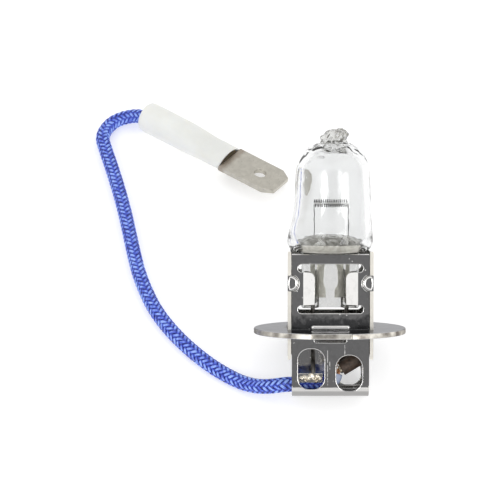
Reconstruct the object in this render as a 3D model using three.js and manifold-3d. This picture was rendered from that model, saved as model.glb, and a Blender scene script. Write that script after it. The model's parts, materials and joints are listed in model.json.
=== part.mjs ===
// A single-filament halogen headlight bulb with a 22 mm flange, lying on a flat surface, with its
// braided lead, boot and blade terminal laid out beside it. Millimetres, +Z up.
// Origin: centre of the flange's seating face (its glass side), on the bulb's own axis.
// The bulb is drawn upright (axis along +Z, front towards -Y) in a group that is then leaned back
// until its flange rim and the heel of its base both touch the surface.
import * as THREE from "three";
import { mergeVertices } from "three/addons/utils/BufferGeometryUtils.js";
import Module from "manifold-3d";

const wasm = await Module();
wasm.setup();

// ---- Driving dimensions -------------------------------------------------------------------------
const FLANGE_R = 11;
const FLANGE_T = 0.8;
const SHEET = 0.4; // holder sheet metal
const HOLDER_BOTTOM = -9.75;

const FRONT_Y = -3.8; // outer face of the front plate
const FRONT_HALF_W = 5.55;
const FRONT_TOP = 10.85;
const HEEL_Y = 3.4; // outer face of the flap behind the lower box
const TOE_R = 1.6; // outer bend radius, front plate to floor
const HEEL_R = 1.2; // outer bend radius, floor to rear flap
const BOX_TOP = -1.2; // top edge of the lower box's flap and side walls
const BEAD = { r: 0.23, length: 4.95, z: 0.29, proud: 0.2 }; // raised bar across the front plate

const REAR_Y = 3.9; // outer face of the rear shell
const REAR_HALF_W = 6.15;
const REAR_WALL = 0.5;
const REAR_TOP = 11.2;
const REAR_BOTTOM = -4.34;

const WINDOW_HALF_W = 4.67; // relief slots above and below the spring flaps
const SLOT_HIGH = [8.22, 9.38];
const SLOT_LOW = [2.33, 3.49];
const HINGE_X = 3.9; // bend line of the spring flaps
const FLAP_LENGTH = 1.85;
const FLAP_CORNER_R = 0.95;
const FLAP_ANGLE = THREE.MathUtils.degToRad(30);

// The half-round tabs of the rear shell that are clinched over notches in the front plate.
const CLINCH_X = 5.75;
const CLINCH_Z = 6.65;
const CLINCH_R = 1.2;
const CLINCH_GAP = 0.05;

// Openings of the lower box: X range, Z range and corner radius.
const LEFT_WINDOW = [[-4.68, -0.86], [-8.6, -2.8], 1.6];
const RIGHT_WINDOW = [[0.82, 4.58], [-8.95, -3.7], 1.8];
const KEY_SLOT = [[-2.3, 2.3], [-1.9, -0.9], 0.3];
const REAR_HOLE = [[1.2, 4.6], [-8.7, -5.0], 1.5];

// The tab from the left wall that crosses in front of the lead and carries the ground weld.
const GROUND_TAB_X = [-5.45, -1.1];
const GROUND_TAB_Y = [-2.8, -2.4];
const GROUND_TAB_Z = [-7.75, -6.4];

const NOTCH_HALF_W = 2.8; // keying notch in the flange's front rim
const NOTCH_DEPTH = 0.75;
const RELIEF_R = 0.35; // half-round reliefs at the sides of the flange's aperture

const PINCH_HALF_W = 4.1;
const PINCH_RIB_Y = 2.4; // half thickness of the pinch's side ribs
const PINCH_WEB_Y = 1.25; // half thickness of the clear web between them
const PINCH_WEB_X = 1.85;
const PINCH_BOTTOM = 3.0;
const LIGHT_CENTRE = 18.0; // filament height above the seating face
const COIL_LENGTH = 4.9;
const COIL_R = 0.53; // middle of the wire
const COIL_TURNS = 15;
const FILAMENT_WIRE_R = 0.11;
const PIN_X = 2.45; // legs and pins stand at this distance from the axis

const INSULATOR_R = 1.05;
const INSULATOR_BORE = 0.8;
const FERRULE_R = 0.62;
const FERRULE_BORE = 0.47;

const CORD_R = 1.125;
const CORD_BORE = 0.87;
const INSULATION_R = 0.8;
const INSULATION_BORE = 0.5;
const CONDUCTOR_R = 0.42;
const CORD_IN_BASE = { y: -0.8, z: -8.2 }; // where the lead crosses the lower box's left wall
const SLEEVE_R = 2.3;
const SLEEVE_LENGTH = 16;
const SLEEVE_WALL = 0.35;
const BLADE_W = 6.3;
const BLADE_T = 0.8;
const BLADE_LENGTH = 9.9;
const TANG_T = 0.7; // the blade is thinner inside the boot
const BLADE_CORNER = { long: 1.6, wide: 1.1 };
const DETENT_R = 0.95;
const DETENT_TO_TIP = 4.0;

// ---- The lean -----------------------------------------------------------------------------------
// The rim touches at (y = FLANGE_R, z = -FLANGE_T) and the heel is a circle of HEEL_R. The angle of
// the axis above the surface puts both at the same depth.
const heelCentre = { y: HEEL_Y - HEEL_R, z: HOLDER_BOTTOM + HEEL_R };
const rimToHeel = Math.hypot(FLANGE_R - heelCentre.y, -FLANGE_T - heelCentre.z);
const rimAngle = Math.atan2(-FLANGE_T - heelCentre.z, FLANGE_R - heelCentre.y);
const AXIS_ANGLE = Math.acos(HEEL_R / rimToHeel) - rimAngle;
const FLOOR_Z = -(FLANGE_R * Math.cos(AXIS_ANGLE) + FLANGE_T * Math.sin(AXIS_ANGLE));

const bulbGroup = new THREE.Group();
bulbGroup.rotation.x = AXIS_ANGLE - Math.PI / 2;
bulbGroup.updateMatrixWorld(true);
const leaned = (x, y, z) => bulbGroup.localToWorld(new THREE.Vector3(x, y, z));

const terminalGroup = new THREE.Group();
const SLEEVE_START = new THREE.Vector3(-28.1, 47.1, FLOOR_Z + SLEEVE_R + 0.02);
const TERMINAL_HEADING = THREE.MathUtils.degToRad(-34.3);
const TERMINAL_ROLL = THREE.MathUtils.degToRad(-13.5); // the edge nearer the bulb's front is raised
terminalGroup.position.copy(SLEEVE_START);
terminalGroup.rotation.set(TERMINAL_ROLL, 0, TERMINAL_HEADING, "ZYX");
terminalGroup.updateMatrixWorld(true);
const onTerminal = (x) => terminalGroup.localToWorld(new THREE.Vector3(x, 0, 0));

const group = new THREE.Group();
group.add(bulbGroup, terminalGroup);

// ---- Helpers ------------------------------------------------------------------------------------
function toSolid(geometry) {
  const bare = geometry.index ? geometry.toNonIndexed() : geometry.clone();
  bare.deleteAttribute("normal");
  bare.deleteAttribute("uv");
  const merged = mergeVertices(bare, 1e-4);
  return new wasm.Manifold(
    new wasm.Mesh({
      numProp: 3,
      vertProperties: new Float32Array(merged.attributes.position.array),
      triVerts: new Uint32Array(merged.index.array),
    }),
  );
}

function toGeometry(solid) {
  const { vertProperties, triVerts } = solid.getMesh();
  const geometry = new THREE.BufferGeometry();
  geometry.setAttribute("position", new THREE.BufferAttribute(vertProperties, 3));
  geometry.setIndex(new THREE.BufferAttribute(triVerts, 1));
  geometry.computeVertexNormals();
  return geometry;
}

function join(...geometries) {
  return toGeometry(geometries.map(toSolid).reduce((a, b) => a.add(b)));
}

function cut(body, ...tools) {
  return toGeometry(tools.map(toSolid).reduce((a, b) => a.subtract(b), toSolid(body)));
}

// The two signs of a pair that is mirrored about the YZ plane.
const SIDES = [-1, 1];

function addMesh(parent, name, geometry, material) {
  const mesh = new THREE.Mesh(geometry, material);
  mesh.name = name;
  parent.add(mesh);
}

function metal(color, roughness) {
  return new THREE.MeshStandardMaterial({ color, roughness, metalness: 1 });
}

function plain(color, roughness) {
  return new THREE.MeshStandardMaterial({ color, roughness, metalness: 0 });
}

function block([x0, x1], [y0, y1], [z0, z1]) {
  const geometry = new THREE.BoxGeometry(x1 - x0, y1 - y0, z1 - z0);
  return geometry.translate((x0 + x1) / 2, (y0 + y1) / 2, (z0 + z1) / 2);
}

// A rectangle with rounded corners, drawn counter-clockwise.
function roundedRect([x0, x1], [y0, y1], r) {
  const shape = new THREE.Shape();
  shape.moveTo(x0 + r, y0);
  shape.absarc(x1 - r, y0 + r, r, -Math.PI / 2, 0);
  shape.absarc(x1 - r, y1 - r, r, 0, Math.PI / 2);
  shape.absarc(x0 + r, y1 - r, r, Math.PI / 2, Math.PI);
  shape.absarc(x0 + r, y0 + r, r, Math.PI, 1.5 * Math.PI);
  return shape;
}

// A shape drawn in X and Z, as seen from the front, given thickness from y0 back to y1.
function facing(shape, [y0, y1], curveSegments = 6) {
  const geometry = new THREE.ExtrudeGeometry(shape, { depth: y1 - y0, bevelEnabled: false, curveSegments });
  return geometry.rotateX(Math.PI / 2).translate(0, y1, 0);
}

// A shape drawn in X and Y, as seen from above, given height from z0 up to z1.
function standing(shape, [z0, z1], curveSegments = 6) {
  const geometry = new THREE.ExtrudeGeometry(shape, { depth: z1 - z0, bevelEnabled: false, curveSegments });
  return geometry.translate(0, 0, z0);
}

// A shape drawn in Y and Z, as seen from the side, given width from x0 to x1.
function sideways(shape, [x0, x1], curveSegments = 6) {
  const geometry = new THREE.ExtrudeGeometry(shape, { depth: x1 - x0, bevelEnabled: false, curveSegments });
  const axes = new THREE.Matrix4().makeBasis(
    new THREE.Vector3(0, 1, 0),
    new THREE.Vector3(0, 0, 1),
    new THREE.Vector3(1, 0, 0),
  );
  return geometry.applyMatrix4(axes).translate(x0, 0, 0);
}

// A profile of [radius, height] pairs turned about the Z axis.
function turned(profile, segments) {
  const points = profile.map(([r, z]) => new THREE.Vector2(r, z));
  return new THREE.LatheGeometry(points, segments).rotateX(Math.PI / 2);
}

function rod(r, from, to, segments = 12) {
  const along = new THREE.Vector3().subVectors(to, from);
  const geometry = new THREE.CylinderGeometry(r, r, along.length(), segments);
  const up = new THREE.Vector3(0, 1, 0);
  geometry.applyQuaternion(new THREE.Quaternion().setFromUnitVectors(up, along.clone().normalize()));
  return geometry.translate(...from.clone().lerp(to, 0.5).toArray());
}

// An upright rod at (x, y).
function upright(x, y, [z0, z1], r) {
  return rod(r, new THREE.Vector3(x, y, z0), new THREE.Vector3(x, y, z1));
}

// A range of X on the right, or its mirror image on the left, in rising order.
function mirrored(range, side) {
  return range.map((x) => side * x).sort((a, b) => a - b);
}

function polygon(path, r, sides) {
  const points = Array.from({ length: sides }, (_, i) => {
    const angle = (2 * Math.PI * i) / sides;
    return new THREE.Vector2(r * Math.cos(angle), r * Math.sin(angle));
  });
  return path.setFromPoints(points);
}

// A tube of the given section along a curve; a bore makes it hollow and open at both ends.
function tube(curve, { r, bore = 0, sides = 8, steps }) {
  const section = polygon(new THREE.Shape(), r, sides);
  if (bore > 0) section.holes.push(polygon(new THREE.Path(), bore, sides));
  return new THREE.ExtrudeGeometry(section, { steps, bevelEnabled: false, extrudePath: curve });
}

// ---- Materials ----------------------------------------------------------------------------------
const nickel = metal(0xc9c7c2, 0.18);
const tungsten = metal(0x8d8a85, 0.45);
const foilMetal = metal(0xa39f92, 0.5);
const quartz = new THREE.MeshStandardMaterial({
  color: 0xeef2f2,
  roughness: 0.05,
  metalness: 0,
  transparent: true,
  opacity: 0.3,
});

// ---- Glass capsule ------------------------------------------------------------------------------
const FOIL_X = [0.65, 2.85];
const FOIL_Z = [4.4, 10.4];
const FOIL_T = 0.1;
const LEG_Y = -0.35; // the legs pass in front of the foils, the pins behind them
const PIN_Y = 0.45;
const PIN_R = 0.3;
const PIN_TOP = 6.0;
const LEG_FOOT = 9.4;
const LEG_CHANNEL_TOP = 13.6;
const CLEAR = 0.06; // gap left round the metal in the pinch, and round the holder in the flange

function glassCapsule() {
  const outside = turned(
    [
      [0, 11.3], [4.3, 11.3], [5.25, 11.5], [5.9, 11.95], [6.17, 12.6], [5.98, 13.6], [5.72, 15.3],
      [5.5, 19], [5.33, 22.9], [5.12, 23.8], [4.55, 24.9], [3.75, 25.8], [2.95, 26.7], [2.1, 27.2],
      [1.75, 27.7], [1.6, 28.3], [1.0, 28.72], [0, 28.8],
    ],
    28,
  );
  const cavity = turned(
    [
      [0, 12.7], [3.2, 12.9], [4.6, 13.3], [5.05, 14.0], [4.95, 15.3], [4.72, 19], [4.55, 22.9],
      [4.35, 23.5], [3.9, 24.4], [3.1, 25.2], [2.1, 25.9], [0.9, 26.4], [0, 26.5],
    ],
    28,
  );
  const pinch = [
    block([-PINCH_WEB_X - 0.1, PINCH_WEB_X + 0.1], [-PINCH_WEB_Y, PINCH_WEB_Y], [PINCH_BOTTOM, 11.6]),
    ...SIDES.map((side) => {
      const ribX = mirrored([PINCH_WEB_X, PINCH_HALF_W], side);
      return standing(roundedRect(ribX, [-PINCH_RIB_Y, PINCH_RIB_Y], 0.5), [PINCH_BOTTOM, 11.6], 4);
    }),
  ];
  const channels = SIDES.flatMap((side) => {
    const [x0, x1] = mirrored(FOIL_X, side);
    const [z0, z1] = FOIL_Z;
    const foilY = FOIL_T / 2 + 0.09;
    return [
      block([x0 - CLEAR, x1 + CLEAR], [-foilY, foilY], [z0 - CLEAR, z1 + CLEAR]),
      upright(side * PIN_X, LEG_Y, [LEG_FOOT - CLEAR, LEG_CHANNEL_TOP], FILAMENT_WIRE_R + 0.14),
      upright(side * PIN_X, PIN_Y, [PINCH_BOTTOM - 1, PIN_TOP + CLEAR], PIN_R + 0.07),
    ];
  });
  return cut(join(outside, ...pinch), cavity, ...channels);
}
addMesh(bulbGroup, "glass_capsule", glassCapsule(), quartz);

// ---- Filament: one wire, leg, coil, leg ----------------------------------------------------------
class FilamentCurve extends THREE.Curve {
  getPoint(t, target = new THREE.Vector3()) {
    const legShare = 0.12; // part of the parameter given to each leg
    const halfCoil = COIL_LENGTH / 2;
    const onCoil = (t - legShare) / (1 - 2 * legShare);
    if (onCoil > 0 && onCoil < 1) {
      const turn = 2 * Math.PI * COIL_TURNS * onCoil;
      const x = -halfCoil + COIL_LENGTH * onCoil;
      return target.set(x, -COIL_R * Math.cos(turn), LIGHT_CENTRE + COIL_R * Math.sin(turn));
    }
    const side = t < 0.5 ? -1 : 1;
    const rise = (side < 0 ? t : 1 - t) / legShare;
    const height = LEG_FOOT + rise * (LIGHT_CENTRE - LEG_FOOT);
    const swing = THREE.MathUtils.smoothstep(rise, 0.8, 1);
    return target.set(side * PIN_X, LEG_Y + (-COIL_R - LEG_Y) * swing, height);
  }
}
const filament = tube(new FilamentCurve(), { r: FILAMENT_WIRE_R, sides: 5, steps: 190 });
addMesh(bulbGroup, "filament", filament, tungsten);

// ---- Foils and pins -----------------------------------------------------------------------------
for (const [name, side] of [["foil_left", -1], ["foil_right", 1]]) {
  const foil = block(mirrored(FOIL_X, side), [-FOIL_T / 2, FOIL_T / 2], FOIL_Z);
  addMesh(bulbGroup, name, foil, foilMetal);
}

function throughPoints(points) {
  return new THREE.CatmullRomCurve3(points, false, "centripetal");
}

// The ground pin bends forward to end on the back of the ground tab.
const groundPath = throughPoints(
  [
    [PIN_Y, PIN_TOP], [PIN_Y, 3], [PIN_Y, 0.4], [0.3, -1.6], [-0.4, -3.4], [-1.4, -4.9], [-1.95, -6.0],
    [-2.05, -7.0],
  ].map(([y, z]) => new THREE.Vector3(-PIN_X, y, z)),
);
addMesh(bulbGroup, "pin_ground", tube(groundPath, { r: PIN_R, sides: 8, steps: 28 }), tungsten);

// The splice lies at a slant behind the right-hand window.
const SPLICE_START = new THREE.Vector3(1.66, -0.9, -5.95);
const SPLICE_DIRECTION = new THREE.Vector3(0.857, 0, 0.515).normalize();
const SPLICE_LENGTH = 2.9;

function onSplice(distance) {
  return SPLICE_START.clone().addScaledVector(SPLICE_DIRECTION, distance);
}

const livePath = throughPoints([
  new THREE.Vector3(PIN_X, PIN_Y, PIN_TOP),
  new THREE.Vector3(PIN_X, PIN_Y, 3),
  new THREE.Vector3(PIN_X, PIN_Y, 0.4),
  new THREE.Vector3(3.0, 0.2, -1.2),
  new THREE.Vector3(4.0, -0.3, -2.4),
  new THREE.Vector3(4.6, -0.7, -3.4),
  onSplice(SPLICE_LENGTH + 0.3),
  onSplice(SPLICE_LENGTH - 0.4),
  onSplice(1.3),
]);
addMesh(bulbGroup, "pin_live", tube(livePath, { r: PIN_R, sides: 8, steps: 28 }), tungsten);

function hollowRod(r, bore, from, to, segments = 16) {
  const past = new THREE.Vector3().subVectors(to, from).setLength(0.1);
  const tool = rod(bore, from.clone().sub(past), to.clone().add(past), segments);
  return cut(rod(r, from, to, segments), tool);
}
const insulator = hollowRod(INSULATOR_R, INSULATOR_BORE, onSplice(0), onSplice(SPLICE_LENGTH));
addMesh(bulbGroup, "splice_insulator", insulator, plain(0x3b2a20, 0.6));
const ferrule = hollowRod(FERRULE_R, FERRULE_BORE, onSplice(-0.3), onSplice(2.1));
addMesh(bulbGroup, "splice_ferrule", ferrule, metal(0xb9a88a, 0.35));

// ---- Holder -------------------------------------------------------------------------------------
// A shell's window: two relief slots with round ends and the opening between them.
function gripWindow(yRange) {
  const slotR = (SLOT_HIGH[1] - SLOT_HIGH[0]) / 2 - 0.01;
  return [
    facing(roundedRect([-WINDOW_HALF_W, WINDOW_HALF_W], SLOT_HIGH, slotR), yRange),
    facing(roundedRect([-WINDOW_HALF_W, WINDOW_HALF_W], SLOT_LOW, 0.49), yRange),
    block([-HINGE_X, HINGE_X], yRange, [SLOT_LOW[1] - 0.1, SLOT_HIGH[0] + 0.1]),
  ];
}

// One spring flap, bent inwards along its hinge line. side is -1 or 1; inward is the Y direction
// from the plate towards the glass.
function springFlap(side, plateY, inward) {
  const [low, high] = [SLOT_LOW[1] + 0.02, SLOT_HIGH[0] - 0.02];
  const root = -0.12; // a little inside the plate
  const outline = new THREE.Shape();
  outline.moveTo(root, low);
  outline.lineTo(FLAP_LENGTH, low);
  outline.absarc(FLAP_LENGTH - FLAP_CORNER_R, high - FLAP_CORNER_R, FLAP_CORNER_R, 0, Math.PI / 2);
  outline.lineTo(root, high);
  const flap = facing(outline, [-SHEET / 2, SHEET / 2]);
  flap.rotateZ(inward > 0 ? FLAP_ANGLE : -FLAP_ANGLE);
  if (side > 0) {
    flap.scale(-1, 1, 1);
    flap.setIndex([...Array(flap.attributes.position.count).keys()].reverse());
  }
  return flap.translate(side * HINGE_X, plateY, 0);
}

// A rod from front to back through the middle of one of the clinched tabs.
function clinchRod(side, r, [y0, y1]) {
  const x = side * CLINCH_X;
  return rod(r, new THREE.Vector3(x, y0, CLINCH_Z), new THREE.Vector3(x, y1, CLINCH_Z), 24);
}

// The bent strip of the front shell: front plate, floor and rear flap, seen from the side. A path
// only joins an arc to what has been drawn, so the first line is drawn out to the first arc.
function frontStrip() {
  const outline = new THREE.Shape();
  const toeInner = TOE_R - SHEET;
  const heelInner = HEEL_R - SHEET;
  const toe = [FRONT_Y + TOE_R, HOLDER_BOTTOM + TOE_R];
  const heel = [HEEL_Y - HEEL_R, HOLDER_BOTTOM + HEEL_R];
  outline.moveTo(FRONT_Y, FRONT_TOP);
  outline.lineTo(FRONT_Y, HOLDER_BOTTOM + TOE_R);
  outline.absarc(...toe, TOE_R, Math.PI, 1.5 * Math.PI);
  outline.absarc(...heel, HEEL_R, -Math.PI / 2, 0);
  outline.lineTo(HEEL_Y, BOX_TOP);
  outline.lineTo(HEEL_Y - SHEET, BOX_TOP);
  outline.absarc(...heel, heelInner, 0, -Math.PI / 2, true);
  outline.absarc(...toe, toeInner, 1.5 * Math.PI, Math.PI, true);
  outline.lineTo(FRONT_Y + SHEET, FRONT_TOP);
  return sideways(outline, [-FRONT_HALF_W, FRONT_HALF_W]);
}

// One side wall of the lower box, a little inside the strip's outline.
function boxWall(side) {
  const inset = 0.1;
  const outline = new THREE.Shape();
  outline.moveTo(FRONT_Y + inset, BOX_TOP);
  outline.lineTo(FRONT_Y + inset, HOLDER_BOTTOM + TOE_R);
  outline.absarc(FRONT_Y + TOE_R, HOLDER_BOTTOM + TOE_R, TOE_R - inset, Math.PI, 1.5 * Math.PI);
  outline.absarc(HEEL_Y - HEEL_R, HOLDER_BOTTOM + HEEL_R, HEEL_R - inset, -Math.PI / 2, 0);
  outline.lineTo(HEEL_Y - inset, BOX_TOP);
  return sideways(outline, mirrored([FRONT_HALF_W - SHEET, FRONT_HALF_W], side));
}

function frontShell() {
  const plate = [FRONT_Y - 1, FRONT_Y + SHEET + 0.5];
  const flap = [HEEL_Y - SHEET - 0.5, HEEL_Y + 0.6];
  const plateMiddle = FRONT_Y + SHEET / 2;
  const bead = new THREE.CapsuleGeometry(BEAD.r, BEAD.length, 4, 12);
  bead.rotateZ(Math.PI / 2).translate(0, FRONT_Y - BEAD.proud + BEAD.r, BEAD.z);
  const body = join(
    cut(frontStrip(), ...gripWindow(plate)),
    ...SIDES.map(boxWall),
    ...SIDES.map((side) => springFlap(side, plateMiddle, 1)),
    block(GROUND_TAB_X, GROUND_TAB_Y, GROUND_TAB_Z),
    bead,
  );
  const { y, z } = CORD_IN_BASE;
  const leftOfWall = new THREE.Vector3(-FRONT_HALF_W - 1, y, z);
  const rightOfWall = new THREE.Vector3(-FRONT_HALF_W + 1, y, z);
  const opening = ([xRange, zRange, r], yRange) => facing(roundedRect(xRange, zRange, r), yRange);
  return cut(
    body,
    opening(LEFT_WINDOW, plate),
    opening(RIGHT_WINDOW, plate),
    opening(KEY_SLOT, plate),
    opening(REAR_HOLE, flap),
    rod(CORD_R + 0.09, leftOfWall, rightOfWall, 20),
    ...SIDES.map((side) => clinchRod(side, CLINCH_R + CLINCH_GAP, [FRONT_Y - 1, FRONT_Y + 1])),
  );
}
addMesh(bulbGroup, "front_shell", frontShell(), nickel);

// The rear shell is a channel that wraps the sides; its clinch tabs fold over the front plate.
function rearShell() {
  const outerR = 0.6;
  const innerR = 0.12;
  const sheetY = REAR_Y - SHEET - 0.05;
  const innerX = REAR_HALF_W - REAR_WALL;
  const outline = new THREE.Shape();
  outline.moveTo(REAR_HALF_W, FRONT_Y);
  outline.lineTo(REAR_HALF_W, REAR_Y - outerR);
  outline.absarc(REAR_HALF_W - outerR, REAR_Y - outerR, outerR, 0, Math.PI / 2);
  outline.absarc(-REAR_HALF_W + outerR, REAR_Y - outerR, outerR, Math.PI / 2, Math.PI);
  outline.lineTo(-REAR_HALF_W, FRONT_Y);
  outline.lineTo(-innerX, FRONT_Y);
  outline.absarc(-innerX + innerR, sheetY - innerR, innerR, Math.PI, Math.PI / 2, true);
  outline.absarc(innerX - innerR, sheetY - innerR, innerR, Math.PI / 2, 0, true);
  outline.lineTo(innerX, FRONT_Y);
  const channel = standing(outline, [REAR_BOTTOM, REAR_TOP]);
  const plate = [sheetY - 0.5, REAR_Y + 1];
  const plateMiddle = (sheetY + REAR_Y) / 2;
  const tabY = [FRONT_Y - 0.05, FRONT_Y + SHEET];
  const body = join(
    cut(channel, ...gripWindow(plate)),
    ...SIDES.map((side) => clinchRod(side, CLINCH_R - CLINCH_GAP, tabY)),
    ...SIDES.map((side) => springFlap(side, plateMiddle, -1)),
  );
  const beyond = SIDES.map((side) => {
    const xRange = mirrored([REAR_HALF_W, REAR_HALF_W + 2], side);
    return block(xRange, [FRONT_Y - 1, FRONT_Y + 1], [CLINCH_Z - 2, CLINCH_Z + 2]);
  });
  return cut(body, ...beyond);
}
addMesh(bulbGroup, "rear_shell", rearShell(), nickel);

// ---- Flange -------------------------------------------------------------------------------------
function flange() {
  const disc = new THREE.Shape();
  disc.absarc(0, 0, FLANGE_R, 0, 2 * Math.PI);
  const apertureX = [-REAR_HALF_W - CLEAR, REAR_HALF_W + CLEAR];
  const apertureY = [FRONT_Y - CLEAR, REAR_Y + CLEAR];
  const through = [-FLANGE_T - 1, 1];
  return cut(
    standing(disc, [-FLANGE_T, 0], 40),
    standing(roundedRect(apertureX, apertureY, 0.12), through),
    ...SIDES.map((side) => upright(side * (REAR_HALF_W + 0.15), 0, through, RELIEF_R)),
    block([-NOTCH_HALF_W, NOTCH_HALF_W], [-FLANGE_R - 1, -FLANGE_R + NOTCH_DEPTH], through),
  );
}
addMesh(bulbGroup, "flange", flange(), nickel);

// ---- Lead ---------------------------------------------------------------------------------------
// One route, from the splice inside the base, out through its left wall, down to the surface and
// along it to the boot. The lead's three layers are tubes along parts of it.
const LEAD_REST = FLOOR_Z + CORD_R + 0.03; // height of the cord's middle where it lies
const { y: cordY, z: cordZ } = CORD_IN_BASE;
const insideBase = [
  [2.1, -5.69], [1.5, -6.05], [1.15, -6.4], [1.0, -6.8], [0.92, -7.2], [0.62, -7.7], [0.1, -8.02],
  [-0.6, cordZ], [-1.6, cordZ], [-2.8, cordZ], [-4.2, cordZ], [-5.6, cordZ],
].map(([x, z]) => leaned(x, z > -7 ? SPLICE_START.y : cordY, z));
const outside = [
  [-6.8, -6.6, -5.05],
  [-8.0, -6.55, -5.4],
  [-9.3, -6.22, -6.0],
  [-10.9, -5.55, -6.75],
  [-12.7, -4.6, -7.25],
].map((p) => new THREE.Vector3(...p));
const onSurface = [
  [-14.7, -3.3], [-17.0, -1.6], [-19.4, 0.6], [-21.7, 3.1], [-23.9, 6.0], [-25.7, 9.0],
  [-27.1, 12.2], [-28.3, 15.8], [-29.2, 19.6], [-30.0, 23.6], [-30.9, 28.0], [-32.0, 32.6],
  [-33.25, 37.2], [-34.35, 41.0], [-34.9, 43.4], [-34.4, 45.4],
].map(([x, y]) => new THREE.Vector3(x, y, LEAD_REST));
const intoBoot = [
  new THREE.Vector3(-33.0, 46.9, LEAD_REST + 0.25),
  new THREE.Vector3(-30.2, 47.6, LEAD_REST + 0.7),
  onTerminal(0.6),
  onTerminal(3),
  onTerminal(6),
  onTerminal(10),
];
const leadRoute = throughPoints([...insideBase, ...outside, ...onSurface, ...intoBoot]);
leadRoute.arcLengthDivisions = 2000;

class PartOfCurve extends THREE.Curve {
  constructor(whole, from, to) {
    super();
    Object.assign(this, { whole, from, to });
  }
  getPoint(t, target = new THREE.Vector3()) {
    return this.whole.getPointAt(this.from + (this.to - this.from) * t, target);
  }
}

const LEAD_STEPS = 120; // along the whole route; every layer starts and ends on one of them
function leadLayer(firstStep, lastStep, sizes) {
  const part = new PartOfCurve(leadRoute, firstStep / LEAD_STEPS, lastStep / LEAD_STEPS);
  return tube(part, { ...sizes, steps: lastStep - firstStep });
}
const braid = leadLayer(4, 112, { r: CORD_R, bore: CORD_BORE });
addMesh(group, "lead_braid", braid, plain(0x3a52d0, 0.7));
const insulation = leadLayer(2, 114, { r: INSULATION_R, bore: INSULATION_BORE });
addMesh(group, "lead_insulation", insulation, plain(0xc9d4ee, 0.5));
const conductor = leadLayer(0, LEAD_STEPS, { r: CONDUCTOR_R });
addMesh(group, "lead_conductor", conductor, metal(0xb87345, 0.4));

// ---- Terminal -----------------------------------------------------------------------------------
// In the terminal's group X runs from the cord towards the blade's tip and Z is the blade's normal.
// The crimp barrels hold the bare strands and the braid; a spine joins them.
const TANG_START = SLEEVE_LENGTH - 4.2;
const TANG_HALF_W = 2.1;
const WIRE_BARREL = { r: 1.15, bore: 0.62, from: TANG_START - 4.4, to: TANG_START + 0.2 };
const BRAID_BARREL = { r: 1.7, bore: 1.25, from: TANG_START - 8, to: TANG_START - 6.2 };

function barrel({ r, bore, from, to }) {
  return hollowRod(r, bore, new THREE.Vector3(from, 0, 0), new THREE.Vector3(to, 0, 0), 20);
}

function terminalBlade() {
  const half = BLADE_W / 2;
  const mouth = SLEEVE_LENGTH + 0.05;
  const tip = SLEEVE_LENGTH + BLADE_LENGTH;
  const tab = new THREE.Shape();
  tab.moveTo(mouth, -half);
  tab.lineTo(tip - BLADE_CORNER.long, -half);
  tab.lineTo(tip, -half + BLADE_CORNER.wide);
  tab.lineTo(tip, half - BLADE_CORNER.wide);
  tab.lineTo(tip - BLADE_CORNER.long, half);
  tab.lineTo(mouth, half);
  const detent = new THREE.Path();
  detent.absarc(tip - DETENT_TO_TIP, 0, DETENT_R, 0, 2 * Math.PI);
  tab.holes.push(detent);
  const tang = new THREE.Shape();
  tang.moveTo(TANG_START, -1);
  tang.lineTo(TANG_START + 1.6, -TANG_HALF_W);
  tang.lineTo(mouth + 0.1, -TANG_HALF_W);
  tang.lineTo(mouth + 0.1, TANG_HALF_W);
  tang.lineTo(TANG_START + 1.6, TANG_HALF_W);
  tang.lineTo(TANG_START, 1);
  return join(
    standing(tab, [-BLADE_T / 2, BLADE_T / 2], 14),
    standing(tang, [-TANG_T / 2, TANG_T / 2]),
    barrel(WIRE_BARREL),
    barrel(BRAID_BARREL),
    block([BRAID_BARREL.from + 0.1, TANG_START - 2], [-0.6, 0.6], [-1.55, -1.05]),
  );
}
addMesh(terminalGroup, "terminal_blade", terminalBlade(), metal(0xb6b2a7, 0.42));

// The boot is turned as a round tube with an inward lip at the cord end; its vertices are then
// pressed towards an oval along the second half, keeping the girth.
function terminalSleeve() {
  const bore = SLEEVE_R - SLEEVE_WALL;
  const lipBore = CORD_R + 0.28;
  const stations = [0.9, 3, 6, 8, 9.5, 11, 12.5, 14, 15.2, SLEEVE_LENGTH];
  const profile = [
    [lipBore, 0.05],
    [SLEEVE_R - 0.5, 0],
    [SLEEVE_R - 0.15, 0.2],
    [SLEEVE_R, 0.6],
    ...stations.map((s) => [SLEEVE_R, s]),
    ...stations.toReversed().map((s) => [bore, s]),
    [lipBore, 0.8],
    [lipBore, 0.05],
  ];
  const round = turned(profile, 28);
  round.rotateY(Math.PI / 2);
  const position = round.attributes.position;
  for (let i = 0; i < position.count; i += 1) {
    const pressed = THREE.MathUtils.smoothstep(position.getX(i), 7, SLEEVE_LENGTH);
    position.setY(i, position.getY(i) * (1 + 0.26 * pressed));
    position.setZ(i, position.getZ(i) * (1 - 0.37 * pressed));
  }
  return toGeometry(toSolid(round));
}
addMesh(terminalGroup, "terminal_sleeve", terminalSleeve(), plain(0xeaebe5, 0.55));

export default group;
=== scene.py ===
"""The looks of a headlight bulb with a braided lead and a blade terminal, around its CAD frame."""
import json
import math

import bmesh
import bpy
import numpy as np
from mathutils import Matrix, Vector, noise


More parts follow.
